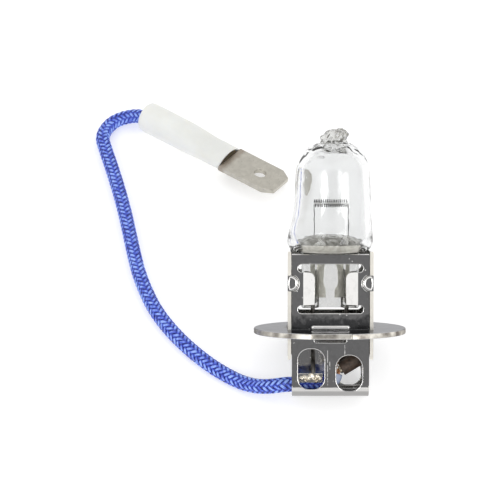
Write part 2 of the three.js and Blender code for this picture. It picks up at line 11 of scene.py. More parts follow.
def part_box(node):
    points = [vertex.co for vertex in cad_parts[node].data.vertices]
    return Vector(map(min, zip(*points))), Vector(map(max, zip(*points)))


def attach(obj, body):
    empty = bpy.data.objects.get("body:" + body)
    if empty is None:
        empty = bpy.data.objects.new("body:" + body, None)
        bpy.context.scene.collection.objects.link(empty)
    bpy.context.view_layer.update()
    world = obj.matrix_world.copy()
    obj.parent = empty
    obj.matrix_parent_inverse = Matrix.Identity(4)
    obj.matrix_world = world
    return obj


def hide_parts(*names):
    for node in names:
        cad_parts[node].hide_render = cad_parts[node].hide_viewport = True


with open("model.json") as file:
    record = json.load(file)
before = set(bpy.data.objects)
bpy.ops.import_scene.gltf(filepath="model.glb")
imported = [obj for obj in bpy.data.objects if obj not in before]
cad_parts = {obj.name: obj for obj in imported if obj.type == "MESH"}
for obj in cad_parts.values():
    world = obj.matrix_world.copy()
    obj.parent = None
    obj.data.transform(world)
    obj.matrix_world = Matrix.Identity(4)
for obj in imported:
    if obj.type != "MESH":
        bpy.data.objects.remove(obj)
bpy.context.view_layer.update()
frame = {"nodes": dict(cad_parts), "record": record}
nodes = frame["nodes"]
mounts = {mount["name"]: mount for mount in frame["record"]["mounts"]}

# ---- Sizes, in metres ---------------------------------------------------------------------------
MM = 0.001
FLOOR_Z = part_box("flange")[0].z  # the flange's rim stands on the surface
CORD_R = 1.125 * MM
STRAND_PAIRS = 8  # carriers each way round the braid
BRAID_LAY = 6.4 * MM  # length of one turn of a strand
STRAND_HALF_W = 0.235 * MM
STRAND_T = 0.085 * MM  # half the thickness of a flattened bundle
STRAND_LIFT = 0.08 * MM  # half the rise from under to over
STRAND_SIDES = 8
SLEEVE_LENGTH = 16.0 * MM
SLEEVE_R = 2.3 * MM
SLEEVE_WALL = 0.35 * MM

# ---- Frames of the leaned bulb and of the terminal ----------------------------------------------
# The bulb's own frame has +Z along its axis towards the glass and -Y towards its front.
bulb_axis = Vector(mounts["bulb_axis"]["axis"]).normalized()
bulb_side = Vector((1, 0, 0))
bulb_back = bulb_axis.cross(bulb_side)
BULB = Matrix((bulb_side, bulb_back, bulb_axis)).transposed().to_4x4()

# The terminal's frame has +X along the blade towards its tip and +Z as the blade's normal.
blade_normal = Vector(mounts["terminal_blade_face"]["axis"]).normalized()
TERMINAL_HEADING = math.radians(-34.3)
terminal_along = Vector((math.cos(TERMINAL_HEADING), math.sin(TERMINAL_HEADING), 0))
terminal_side = blade_normal.cross(terminal_along)
SLEEVE_START = Vector((-28.1 * MM, 47.1 * MM, FLOOR_Z + SLEEVE_R + 0.02 * MM))
TERMINAL = Matrix((terminal_along, terminal_side, blade_normal)).transposed().to_4x4()
TERMINAL.translation = SLEEVE_START

ROW_FRAME = Matrix.Identity(4)


def leaned(x, y, z):
    """A place in the bulb's own frame, given in mm."""
    return BULB @ Vector((x * MM, y * MM, z * MM))


def on_terminal(x):
    """A place on the boot's centreline, in mm from its cord end."""
    return TERMINAL @ Vector((x * MM, 0, 0))


# ---- Camera -------------------------------------------------------------------------------------
CAMERA_RISE = math.radians(50.7)
CAMERA_DISTANCE = 350 * MM
AIM_RIGHT = -11.55 * MM
AIM_UP = 11.2 * MM  # measured in the picture's plane, as AIM_RIGHT is
VIEW_WIDTH = 72.46 * MM  # what the picture's width shows at the aim point
SENSOR = 36.0


def make_camera():
    right = Vector((1, 0, 0))
    towards = Vector((0, -math.cos(CAMERA_RISE), math.sin(CAMERA_RISE)))
    up = towards.cross(right)
    aim = right * AIM_RIGHT + up * AIM_UP
    camera = bpy.data.cameras.new("camera")
    camera.sensor_width = SENSOR
    camera.lens = SENSOR * CAMERA_DISTANCE / VIEW_WIDTH
    camera.clip_start = 0.01
    camera.clip_end = 10
    obj = bpy.data.objects.new("camera", camera)
    rotation = Matrix((right, up, towards)).transposed().to_4x4()
    obj.matrix_world = Matrix.Translation(aim + towards * CAMERA_DISTANCE) @ rotation
    bpy.context.scene.collection.objects.link(obj)
    bpy.context.scene.camera = obj


make_camera()


# ---- Node graphs --------------------------------------------------------------------------------
FACTOR_IN, COLOUR_A_IN, COLOUR_B_IN, COLOUR_OUT = 0, 6, 7, 2  # the Mix node's colour sockets


class Graph:
    """A material's node tree, with short names for the nodes used here. Coordinates are in mm."""

    def __init__(self, name, **sockets):
        self.material = bpy.data.materials.new(name)
        self.material.use_nodes = True
        self.tree = self.material.node_tree
        self.shader = self.tree.nodes["Principled BSDF"]
        for key, value in sockets.items():
            self.shader.inputs[key.replace("_", " ")].default_value = value

    def new(self, kind, **settings):
        node = self.tree.nodes.new(kind)
        for key, value in settings.items():
            setattr(node, key, value)
        return node

    def feed(self, node, key, value):
        if isinstance(value, bpy.types.NodeSocket):
            self.tree.links.new(value, node.inputs[key])
        else:
            node.inputs[key].default_value = value

    def millimetres(self, stretch=(1, 1, 1), source="Object"):
        coordinates = self.new("ShaderNodeTexCoord")
        mapping = self.new("ShaderNodeMapping")
        unit = 1 if source == "UV" else 1000
        mapping.inputs["Scale"].default_value = [unit * s for s in stretch]
        self.tree.links.new(coordinates.outputs[source], mapping.inputs["Vector"])
        return mapping.outputs["Vector"]

    def noise(self, scale, detail=3.0, stretch=(1, 1, 1), distortion=0.0, source="Object"):
        node = self.new("ShaderNodeTexNoise")
        node.inputs["Scale"].default_value = scale
        node.inputs["Detail"].default_value = detail
        node.inputs["Distortion"].default_value = distortion
        self.feed(node, "Vector", self.millimetres(stretch, source))
        return node.outputs["Fac"]

    def spots(self, scale):
        node = self.new("ShaderNodeTexVoronoi")
        node.inputs["Scale"].default_value = scale
        self.feed(node, "Vector", self.millimetres())
        return node.outputs["Distance"]

    def range(self, value, low, high, new_low, new_high):
        node = self.new("ShaderNodeMapRange")
        keys = ("From Min", "From Max", "To Min", "To Max")
        for key, number in zip(keys, (low, high, new_low, new_high)):
            node.inputs[key].default_value = number
        self.feed(node, "Value", value)
        return node.outputs["Result"]

    def calc(self, a, b, operation="ADD"):
        """One arithmetic node, an addition unless told otherwise."""
        node = self.new("ShaderNodeMath", operation=operation)
        self.feed(node, 0, a)
        self.feed(node, 1, b)
        return node.outputs[0]

    def product(self, first, *rest):
        for value in rest:
            first = self.calc(first, value, "MULTIPLY")
        return first

    def distance(self, value, place):
        """How far a value in mm lies from a place, either way."""
        return self.calc(self.calc(value, -place), 0.0, "ABSOLUTE")

    def colours(self, value, stops):
        node = self.new("ShaderNodeValToRGB")
        ramp = node.color_ramp
        while len(ramp.elements) < len(stops):
            ramp.elements.new(0.5)
        for element, (position, colour) in zip(ramp.elements, stops):
            element.position = position
            element.color = (*colour, 1)
        self.feed(node, "Fac", value)
        return node.outputs["Color"]

    def mixed(self, factor, low, high):
        """One colour at factor 0 and the other at factor 1."""
        node = self.new("ShaderNodeMix", data_type="RGBA")
        for index, value in ((FACTOR_IN, factor), (COLOUR_A_IN, low), (COLOUR_B_IN, high)):
            self.feed(node, index, value)
        return node.outputs[COLOUR_OUT]

    def along(self, direction):
        """How far a point lies along a direction from the origin, in mm."""
        node = self.new("ShaderNodeVectorMath", operation="DOT_PRODUCT")
        self.feed(node, 0, self.millimetres())
        self.feed(node, 1, direction)
        return node.outputs["Value"]

    def attribute(self, name):
        return self.new("ShaderNodeAttribute", attribute_name=name).outputs["Fac"]

    def colour(self, socket):
        self.feed(self.shader, "Base Color", socket)

    def roughness(self, socket):
        self.feed(self.shader, "Roughness", socket)

    def bump(self, height, depth, strength=1.0):
        node = self.new("ShaderNodeBump")
        node.inputs["Strength"].default_value = strength
        node.inputs["Distance"].default_value = depth
        self.feed(node, "Height", height)
        self.tree.links.new(node.outputs["Normal"], self.shader.inputs["Normal"])


def polished_metal(name, light, dark, rough=(0.04, 0.14), wave=0.1):
    """Bright plating: slow ripple in the sheet, fine drawn scratches, and specks of pale dust."""
    graph = Graph(name, Metallic=1.0)
    stains = graph.noise(0.9, 5.0)
    graph.colour(graph.colours(stains, [(0.25, dark), (0.5, light)]))
    specks = graph.range(graph.spots(0.95), 0.06, 0.1, 0.25, 1.0)
    wiped = graph.range(graph.noise(0.45, 3.0), 0.5, 0.56, 0.0, 1.0)
    graph.dust = graph.calc(specks, wiped, "MAXIMUM")
    graph.feed(graph.shader, "Metallic", graph.dust)
    graph.roughness(graph.range(graph.noise(2.3, 5.0), 0.3, 0.7, *rough))
    scratches = graph.noise(1.0, 2.0, (11, 11, 0.6))
    height = graph.calc(graph.noise(0.42, 1.0), graph.calc(scratches, 0.05, "MULTIPLY"))
    graph.bump(height, wave * MM)
    return graph


def satin_metal(name, light, dark, rough=(0.3, 0.45), grain=14.0, depth=0.012):
    graph = Graph(name, Metallic=1.0)
    graph.colour(graph.colours(graph.noise(1.2, 5.0), [(0.25, dark), (0.75, light)]))
    graph.roughness(graph.range(graph.noise(5.0, 4.0), 0.3, 0.7, *rough))
    graph.bump(graph.noise(grain, 3.0), depth * MM)
    return graph.material


# ---- Mesh helpers -------------------------------------------------------------------------------
def finished(name, mesh, place, material, smooth_angle=30.0):
    """Links a mesh as a piece of the object, in the row frame, riding on the one body."""
    obj = bpy.data.objects.new(name, mesh)
    bpy.context.scene.collection.objects.link(obj)
    mesh.transform(place)
    mesh.shade_smooth()
    mesh.set_sharp_from_angle(angle=math.radians(smooth_angle))
    mesh.materials.clear()
    mesh.materials.append(material)
    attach(obj, "root")
    return obj


def mesh_from(name, vertices, faces):
    mesh = bpy.data.meshes.new(name)
    mesh.from_pydata([tuple(v) for v in vertices], [], faces)
    shape = bmesh.new()
    shape.from_mesh(mesh)
    bmesh.ops.recalc_face_normals(shape, faces=shape.faces)
    shape.to_mesh(mesh)
    shape.free()
    return mesh


def with_modifier(mesh, kind, **settings):
    """The mesh after one modifier, as a new mesh."""
    holder = bpy.data.objects.new("holder", mesh)
    bpy.context.scene.collection.objects.link(holder)
    modifier = holder.modifiers.new("step", kind)
    for key, value in settings.items():
        setattr(modifier, key, value)
    depsgraph = bpy.context.evaluated_depsgraph_get()
    result = bpy.data.meshes.new_from_object(holder.evaluated_get(depsgraph))
    bpy.data.objects.remove(holder)
    return result


def combined(mesh, other, operation):
    tool = bpy.data.objects.new("tool", other)
    bpy.context.scene.collection.objects.link(tool)
    result = with_modifier(mesh, "BOOLEAN", operation=operation, object=tool, solver="EXACT")
    bpy.data.objects.remove(tool)
    return result


SPLINE_STEPS = 24  # samples between two points of a curve before it is resampled


def smoothstep(value, low, high):
    """0 below low, 1 above high, and an S-shaped rise between them."""
    t = min(1.0, max(0.0, (value - low) / (high - low)))
    return t * t * (3 - 2 * t)


def between(a, b, low, high, t):
    """The point that stands at t on the line that passes a at low and b at high."""
    return a.lerp(b, (t - low) / (high - low))


def spline(points, spacing):
    """A centripetal Catmull-Rom curve through the points, resampled at an even spacing."""
    ends = [points[0] * 2 - points[1], *points, points[-1] * 2 - points[-2]]
    dense = []
    for a, b, c, d in zip(ends, ends[1:], ends[2:], ends[3:]):
        t0 = 0.0
        t1 = t0 + math.sqrt((b - a).length)
        t2 = t1 + math.sqrt((c - b).length)
        t3 = t2 + math.sqrt((d - c).length)
        for step in range(SPLINE_STEPS):
            t = t1 + (t2 - t1) * step / SPLINE_STEPS
            ab = between(a, b, t0, t1, t)
            bc = between(b, c, t1, t2, t)
            cd = between(c, d, t2, t3, t)
            dense.append(between(between(ab, bc, t0, t2, t), between(bc, cd, t1, t3, t), t1, t2, t))
    dense.append(points[-1])
    return resampled(dense, spacing)


def resampled(dense, spacing):
    """Evenly spaced points along a polyline, with its two ends among them."""
    steps = [(q - p).length for p, q in zip(dense, dense[1:])]
    total = sum(steps)
    count = max(2, round(total / spacing))
    result, index, walked = [], 0, 0.0
    for k in range(count + 1):
        target = total * k / count
        while index < len(steps) - 1 and walked + steps[index] < target:
            walked += steps[index]
            index += 1
        share = (target - walked) / steps[index] if steps[index] else 0.0
        result.append(dense[index].lerp(dense[index + 1], min(1.0, share)))
    return result


def carried_frames(points):
    """Two directions across the curve at each point, carried along it without twisting."""
    tangents = []
    for i in range(len(points)):
        ahead, behind = points[min(i + 1, len(points) - 1)], points[max(i - 1, 0)]
        tangents.append((ahead - behind).normalized())
    across = tangents[0].orthogonal().normalized()
    frames = []
    for tangent in tangents:
        across = (across - tangent * across.dot(tangent)).normalized()
        frames.append((across.copy(), tangent.cross(across)))
    return frames


def band_faces(low, high, sides):
    """The faces between two rings of vertices, given the number of the first vertex of each."""
    return [(low + k, low + (k + 1) % sides, high + (k + 1) % sides, high + k) for k in range(sides)]


def capped_faces(rows, sides):
    """The faces of a tube made of rings in order, closed at both ends."""
    faces = []
    for i in range(rows - 1):
        faces += band_faces(i * sides, (i + 1) * sides, sides)
    return faces + [tuple(range(sides)), tuple(range((rows - 1) * sides, rows * sides))]


def swept(name, points, outline, frames=None):
    """A closed tube with one outline, of (across, up) offsets, carried along the points."""
    vertices = []
    for point, (across, up) in zip(points, frames or carried_frames(points)):
        vertices += [point + across * a + up * b for a, b in outline]
    return mesh_from(name, vertices, capped_faces(len(points), len(outline)))


def angles(sides):
    return [2 * math.pi * k / sides for k in range(sides)]


def ring(radius, sides):
    return [(radius * math.cos(t), radius * math.sin(t)) for t in angles(sides)]


def joined(meshes, name):
    shape = bmesh.new()
    for mesh in meshes:
        shape.from_mesh(mesh)
    result = bpy.data.meshes.new(name)
    shape.to_mesh(result)
    shape.free()
    return result


def turned(name, profile, segments=96):
    """A solid turned about Z from (radius, height) pairs in mm that start and end on the axis."""
    vertices, faces, rings = [], [], []
    for radius, height in profile:
        if radius < 1e-6:
            rings.append([len(vertices)] * segments)
            vertices.append((0, 0, height * MM))
            continue
        rings.append([len(vertices) + k for k in range(segments)])
        turns = angles(segments)
        vertices += [(radius * MM * math.cos(t), radius * MM * math.sin(t), height * MM) for t in turns]
    for low, high in zip(rings, rings[1:]):
        for k in range(segments):
            corners = [low[k], low[(k + 1) % segments], high[(k + 1) % segments], high[k]]
            unique = tuple(dict.fromkeys(corners))
            if len(unique) > 2:
                faces.append(unique)
    return mesh_from(name, vertices, faces)


def softened(profile, spacing=0.25):
    """The same profile as a smooth curve through its points."""
    points = [Vector((r, z, 0)) for r, z in profile]
    return [(max(0.0, p.x), p.y) for p in spline(points, spacing)]


SHARP_ANGLE = math.radians(40)
SHORT_EDGE = 0.2 * MM
FLAT_LIMIT = math.cos(math.radians(50))
WELD_DISTANCE = 0.002 * MM
FLAT_ANGLE = math.radians(0.6)  # facets that differ by less are one face
STRAIGHT_ON = -0.9  # the cosine between two edges that run on from each other
MOST_FACES_ROUND = 24  # round one corner


def refined(node, name, edge, material, segments=2, smooth_angle=32.0):
    """A CAD node's own shape, with whole flat faces and edges rounded as pressing leaves them."""
    shape = bmesh.new()
    shape.from_mesh(nodes[node].data)
    bmesh.ops.remove_doubles(shape, verts=shape.verts, dist=WELD_DISTANCE)
    bmesh.ops.dissolve_limit(shape, angle_limit=FLAT_ANGLE, verts=shape.verts, edges=shape.edges)
    weigh_edges(shape)
    mesh = bpy.data.meshes.new(name)
    shape.to_mesh(mesh)
    shape.free()
    mesh = with_modifier(
        mesh, "BEVEL", width=edge * MM, segments=segments, limit_method="WEIGHT",
        use_clamp_overlap=False,
    )
    mesh.name = name
    piece = finished(name, mesh, ROW_FRAME, material, smooth_angle)
    keep_flats_flat(piece.data)
    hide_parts(node)
    return piece


def weigh_edges(shape):
    """Marks the sharp edges to be rounded. Corners with an edge too short for it stay sharp."""
    weight = shape.edges.layers.float.new("bevel_weight_edge")
    sharp = {e for e in shape.edges if len(e.link_faces) == 2 and e.calc_face_angle(0) > SHARP_ANGLE}
    crowded = set()
    for vertex in shape.verts:
        around = [e for e in vertex.link_edges if e in sharp]
        directions = [(e.other_vert(vertex).co - vertex.co).normalized() for e in around]
        runs_on = len(around) == 2 and directions[0].dot(directions[1]) < STRAIGHT_ON
        if not runs_on and any(e.calc_length() < SHORT_EDGE for e in around):
            crowded.add(vertex)
    for e in sharp:
        e[weight] = 0.0 if crowded.intersection(e.verts) else 1.0


def keep_flats_flat(mesh):
    """Sets each corner's normal mostly by the largest smooth face around it, so flats look flat."""
    sharp = {e.key for e in mesh.edges if e.use_edge_sharp}
    shape = bmesh.new()
    shape.from_mesh(mesh)
    shape.faces.ensure_lookup_table()
    normals = [Vector((0, 0, 1))] * len(mesh.loops)
    for face in shape.faces:
        for loop in face.loops:
            total = face.normal * face.calc_area() ** 2
            for start in (loop, loop.link_loop_prev):
                corner, edge = loop, start.edge
                for _ in range(MOST_FACES_ROUND):
                    ends = tuple(sorted(v.index for v in edge.verts))
                    if len(edge.link_faces) != 2 or ends in sharp:
                        break
                    across = next(f for f in edge.link_faces if f is not corner.face)
                    corner = next(l for l in across.loops if l.vert is loop.vert)
                    if corner.face is face:
                        break
                    if across.normal.dot(face.normal) > FLAT_LIMIT:
                        total += across.normal * across.calc_area() ** 2
                    edge = next(e for e in (corner.edge, corner.link_loop_prev.edge) if e is not edge)
            normals[loop.index] = total.normalized()
    shape.free()
    mesh.normals_split_custom_set(normals)


# ---- Lead: the route ----------------------------------------------------------------------------
LEAD_CLEARANCE = 0.03  # between the braid and the surface, in mm
LEAD_REST = FLOOR_Z / MM + CORD_R / MM + LEAD_CLEARANCE
INSIDE_BASE = [
    leaned(2.1, -0.9, -5.69), leaned(1.5, -0.9, -6.05), leaned(1.15, -0.9, -6.4), leaned(1.0, -0.9, -6.8),
    leaned(0.92, -0.8, -7.2), leaned(0.62, -0.8, -7.7), leaned(0.1, -0.8, -8.02), leaned(-0.6, -0.8, -8.2),
    leaned(-1.6, -0.8, -8.2), leaned(-2.8, -0.8, -8.2), leaned(-4.2, -0.8, -8.2), leaned(-5.6, -0.8, -8.2),
]
OUTSIDE = [
    (-6.8, -6.6, -5.05), (-8.0, -6.55, -5.4), (-9.3, -6.22, -6.0), (-10.9, -5.55, -6.75),
    (-12.7, -4.6, -7.25),
]
ON_SURFACE = [
    (-14.7, -3.3), (-17.0, -1.6), (-19.4, 0.6), (-21.7, 3.1), (-23.9, 6.0), (-25.7, 9.0),
    (-27.1, 12.2), (-28.3, 15.8), (-29.2, 19.6), (-30.0, 23.6), (-30.9, 28.0), (-32.0, 32.6),
    (-33.25, 37.2), (-34.35, 41.0), (-34.9, 43.4), (-34.4, 45.4),
]
INTO_BOOT = [(-33.0, 46.9, LEAD_REST + 0.25), (-30.2, 47.6, LEAD_REST + 0.7)]
LEAD_ROUTE = [
    *INSIDE_BASE,
    *[Vector(p) * MM for p in OUTSIDE],
    *[Vector((x, y, LEAD_REST)) * MM for x, y in ON_SURFACE],
    *[Vector(p) * MM for p in INTO_BOOT],
    on_terminal(0.6), on_terminal(3), on_terminal(6), on_terminal(10),
]
LEAD_STEP = 0.16 * MM
lead_line = spline(LEAD_ROUTE, LEAD_STEP)
lead_frames = carried_frames(lead_line)
CAD_STEPS = 120  # the CAD layers start and end on such parts of the route
BRAID_STEPS = (4, 112)
INSULATION_STEPS = (2, 114)
CONDUCTOR_STEPS = (0, 120)
INSULATION_R = 0.8 * MM
WIRES = 7  # six strands laid round a straight one
WIRE_LAY = 7 * MM
WIRE_REACH = 0.27 * MM
COPPER_R = 0.13 * MM
CORE_SIDES = 20


def lead_part(first, last):
    """The stretch of the route between two of the CAD's steps."""
    low = round((len(lead_line) - 1) * first / CAD_STEPS)
    high = round((len(lead_line) - 1) * last / CAD_STEPS)
    return slice(low, high + 1)


# ---- Lead: materials and layers -----------------------------------------------------------------
def yarn_material():
    """Glass yarn with painted light: a painted highlight where a bundle rides over the others and on its
    outward face, and painted shade in deep blue where it dives under them.
    """
    graph = Graph("braid_yarn", Roughness=0.36, Specular_IOR_Level=0.7)
    fibres = graph.noise(1.0, 2.0, (1.2, 26, 1), source="UV")
    patches = graph.noise(1.1, 4.0)
    about_zero = graph.calc(graph.calc(fibres, patches), -1.0)
    uneven = graph.calc(about_zero, 1.5, "MULTIPLY")
    # painted shade and highlight: the rise attribute darkens the yarn where it dives under and lightens it
    # where it rides on top
    shade = graph.calc(graph.attribute("rise"), uneven)
    graph.colour(graph.colours(shade, [
        (0.0, (0.004, 0.01, 0.16)), (0.4, (0.02, 0.045, 0.46)),
        (0.75, (0.05, 0.11, 0.68)), (1.0, (0.3, 0.46, 0.97)),
    ]))
    graph.bump(fibres, 0.04 * MM)
    return graph.material


def braid_strand(index, direction, part):
    """One flat yarn bundle of the braid, passing over two and under two of those that cross it."""
    line, frames = lead_line[part], lead_frames[part]
    points, outwards, lit_rises = [], [], []
    for i, (point, (across, up)) in enumerate(zip(line, frames)):
        turn = i * LEAD_STEP / BRAID_LAY
        angle = 2 * math.pi * (direction * turn + index / STRAND_PAIRS)
        crossing = (index + direction * STRAND_PAIRS * turn) / 2
        weave = direction * max(-1.0, min(1.0, 1.6 * math.cos(2 * math.pi * crossing + math.pi / 4)))
        outward = across * math.cos(angle) + up * math.sin(angle)
        points.append(point + outward * (CORD_R - STRAND_T - STRAND_LIFT * (1 - weave)))
        outwards.append(outward)
        lit_rises.append(0.5 + 0.5 * weave)
    directions = []
    for i, outward in enumerate(outwards):
        ahead, behind = points[min(i + 1, len(points) - 1)], points[max(i - 1, 0)]
        directions.append((outward.cross((ahead - behind).normalized()).normalized(), outward))
    turns = angles(STRAND_SIDES)
    outline = [(STRAND_HALF_W * math.cos(t), STRAND_T * math.sin(t)) for t in turns]
    strand = swept(f"strand_{index}", points, outline, directions)
    # painted highlight on each bundle's outward face, painted shade on its inner side
    lit_crown = [0.25 + 0.75 * max(0.0, math.sin(t)) for t in turns]
    add_strip_uv(strand, STRAND_SIDES, LEAD_STEP)
    add_painted_shade(strand, [rise * lit_crown[k] for rise in lit_rises for k in range(STRAND_SIDES)])
    return strand


def add_strip_uv(mesh, sides, step):
    """Lays UVs along swept tubes: U runs along the strand in mm, V goes round it."""
    layer = mesh.uv_layers.new(name="strand")
    for polygon in mesh.polygons:
        for loop in polygon.loop_indices:
            vertex = mesh.loops[loop].vertex_index
            layer.data[loop].uv = (vertex // sides * step / MM, vertex % sides / sides)


def add_painted_shade(mesh, values):
    """Marks how high each point rides in the weave, for the yarn's painted shade and highlight."""
    layer = mesh.attributes.new("rise", "FLOAT", "POINT")
    layer.data.foreach_set("value", values)


def make_braid():
    part = lead_part(*BRAID_STEPS)
    strands = [braid_strand(k, way, part) for way in (1, -1) for k in range(STRAND_PAIRS)]
    line, frames = lead_line[part], lead_frames[part]
    core = swept("core", line, ring(CORD_R - 2 * STRAND_T - 2 * STRAND_LIFT, CORE_SIDES), frames)
    add_strip_uv(core, CORE_SIDES, LEAD_STEP)
    # the core gets the darkest painted shade, between the strands
    add_painted_shade(core, [0.0] * len(core.vertices))
    mesh = joined([core, *strands], "lead_braid_woven")
    piece = finished("lead_braid_woven", mesh, ROW_FRAME, yarn_material(), 80)
    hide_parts("lead_braid")
    return piece, line


def make_insulation():
    graph = Graph("wire_insulation", Roughness=0.5)
    blues = [(0.3, (0.42, 0.52, 0.78)), (0.7, (0.62, 0.7, 0.88))]
    graph.colour(graph.colours(graph.noise(1.5, 3.0), blues))
    graph.bump(graph.noise(6.0, 2.0), 0.01 * MM)
    part = lead_part(*INSULATION_STEPS)
    outline = ring(INSULATION_R, CORE_SIDES)
    mesh = swept("lead_insulation_tube", lead_line[part], outline, lead_frames[part])
    piece = finished("lead_insulation_tube", mesh, ROW_FRAME, graph.material, 60)
    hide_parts("lead_insulation")


def make_conductor():
    copper = satin_metal("copper_strands", (0.72, 0.42, 0.25), (0.42, 0.2, 0.1), (0.25, 0.4))
    part = lead_part(*CONDUCTOR_STEPS)
    line, frames = lead_line[part], lead_frames[part]
    strands = []
    for k in range(WIRES):
        reach = 0.0 if k == WIRES - 1 else WIRE_REACH
        points = []
        for i, (point, (across, up)) in enumerate(zip(line, frames)):
            angle = 2 * math.pi * (k / (WIRES - 1) + i * LEAD_STEP / WIRE_LAY)
            points.append(point + (across * math.cos(angle) + up * math.sin(angle)) * reach)
        strands.append(swept(f"wire_{k}", points[::2], ring(COPPER_R, 8), frames[::2]))
    mesh = joined(strands, "lead_conductor_strands")
    piece = finished("lead_conductor_strands", mesh, ROW_FRAME, copper, 60)
    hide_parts("lead_conductor")


braid, braid_line = make_braid()
make_insulation()
make_conductor()


# ---- Terminal -----------------------------------------------------------------------------------
SLEEVE_SIDES = 64
SLEEVE_ROWS = 40  # along each of its long walls
PRESSED_FROM = 7  # in mm from the cord end, where the boot starts to flatten over the blade
PRESSED_WIDER = 0.26
PRESSED_THINNER = 0.37
FULLER = 0.06  # how much thicker the boot is over the cord
FULLER_PUSH = 4  # mm that the cord end moves back for each unit of fullness


def sleeve_material():
    graph = Graph("sleeve_silicone", Roughness=0.48, Subsurface_Weight=0.35, Subsurface_Scale=0.0008)
    graph.shader.inputs["Subsurface Radius"].default_value = (1.0, 0.9, 0.75)
    whites = [(0.3, (0.79, 0.79, 0.745)), (0.7, (0.84, 0.845, 0.805))]
    graph.colour(graph.colours(graph.noise(0.35, 4.0), whites))
    graph.roughness(graph.range(graph.noise(3.0, 3.0), 0.3, 0.7, 0.4, 0.56))
    graph.bump(graph.noise(0.8, 5.0), 0.08 * MM, 0.5)
    return graph.material


def sleeve_stations():
    """The boot's section, from its cord end along the outside and back through the bore."""
    end = SLEEVE_LENGTH / MM
    bore = SLEEVE_R - SLEEVE_WALL
    lip_bore = CORD_R + 0.12 * MM
    cord_end = [
        (lip_bore, 0.35), (lip_bore + 0.25 * MM, 0.1), (SLEEVE_R - 0.75 * MM, 0.02),
        (SLEEVE_R - 0.35 * MM, 0.14), (SLEEVE_R - 0.1 * MM, 0.45), (SLEEVE_R, 0.95),
    ]
    outside = [(SLEEVE_R, s) for s in np.linspace(1.6, end - 0.12, SLEEVE_ROWS)]
    mouth = [(SLEEVE_R - 0.06 * MM, end), (bore + 0.06 * MM, end)]
    inside = [(bore, s) for s in np.linspace(end - 0.12, 1.6, SLEEVE_ROWS)]
    return [*cord_end, *outside, *mouth, *inside, (lip_bore + 0.3 * MM, 0.9)]


def make_sleeve():
    stations = sleeve_stations()
    vertices, faces = [], []
    for radius, s in stations:
        pressed = smoothstep(s, PRESSED_FROM, SLEEVE_LENGTH / MM)
        fuller = 1 + FULLER * (1 - smoothstep(s, 8, 13))
        for angle in angles(SLEEVE_SIDES):
            place = Vector((s * 0.35, 1.5 * math.cos(angle), 1.5 * math.sin(angle)))
            wobble = 1 + 0.012 * noise.noise(place)
            y = radius * wobble * fuller * math.cos(angle) * (1 + PRESSED_WIDER * pressed)
            z = radius * wobble * fuller * math.sin(angle) * (1 - PRESSED_THINNER * pressed)
            z += (fuller - 1) * SLEEVE_R
            vertices.append(((s - FULLER_PUSH * (fuller - 1)) * MM, y, z))
    for i in range(len(stations)):
        after = (i + 1) % len(stations)
        faces += band_faces(i * SLEEVE_SIDES, after * SLEEVE_SIDES, SLEEVE_SIDES)
    mesh = mesh_from("terminal_sleeve_boot", vertices, faces)
    piece = finished("terminal_sleeve_boot", mesh, TERMINAL, sleeve_material(), 50)
    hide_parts("terminal_sleeve")
    return piece


def blade_finish():
    """Satin tin, with a painted brown shadow beside the boot's mouth."""
    graph = Graph("blade_tin", Metallic=1.0)
    tins = [(0.25, (0.44, 0.42, 0.37)), (0.75, (0.545, 0.52, 0.46))]
    tin = graph.colours(graph.noise(1.2, 5.0), tins)
    mouth = SLEEVE_START.dot(terminal_along) / MM + SLEEVE_LENGTH / MM
    past_mouth = graph.calc(graph.along(terminal_along), -mouth)
    # painted shadow of the boot's lip: a brown band on the blade just past the mouth
    brown = graph.range(graph.calc(past_mouth, graph.noise(1.5, 3.0)), 1.3, 1.9, 0.8, 0.0)
    graph.colour(graph.mixed(brown, tin, (0.33, 0.28, 0.23, 1)))
    graph.roughness(graph.range(graph.noise(5.0, 4.0), 0.3, 0.7, 0.26, 0.4))
    graph.bump(graph.noise(16.0, 3.0), 0.014 * MM)
    return graph.material


sleeve = make_sleeve()
blade = refined("terminal_blade", "terminal_blade_tab", 0.12, blade_finish(), 3)


# ---- Holder and flange --------------------------------------------------------------------------
# Places in the bulb's own frame, in mm. Depths run from the front (negative) to the back.
CLINCH_X, CLINCH_Z, CLINCH_R = 5.75, 6.65, 1.15  # the half-round tabs folded over the front plate
SCRATCHES = [(-0.42, -8.0, -3.0), (2.05, -4.4, -2.2), (-0.1, -6.0, -4.6)]  # x, lower and upper height
PLATE_DEPTHS = (-3.82, -3.79)  # either side of the front plate's face
SOOT_FOOT = (-0.75, -0.7)
SOOT_TOP = (2.6, 3.6)
TOE_HEIGHTS = (-9.0, -8.3)
STRIP_X = 5.6  # the sheared edges beside the front plate start here
WALL_X = 5.5
STRIP_DEPTH = -3.7
REAR_DEPTH = 3.3
SOOT_COLOUR = (0.3, 0.3, 0.3, 1)
TOE_COLOUR = (0.34, 0.335, 0.33, 1)
# painted shade for the side and rear walls
WALL_SHADE_COLOUR = (0.6, 0.595, 0.58, 1)
SHEARED_COLOUR = (0.86, 0.83, 0.76, 1)


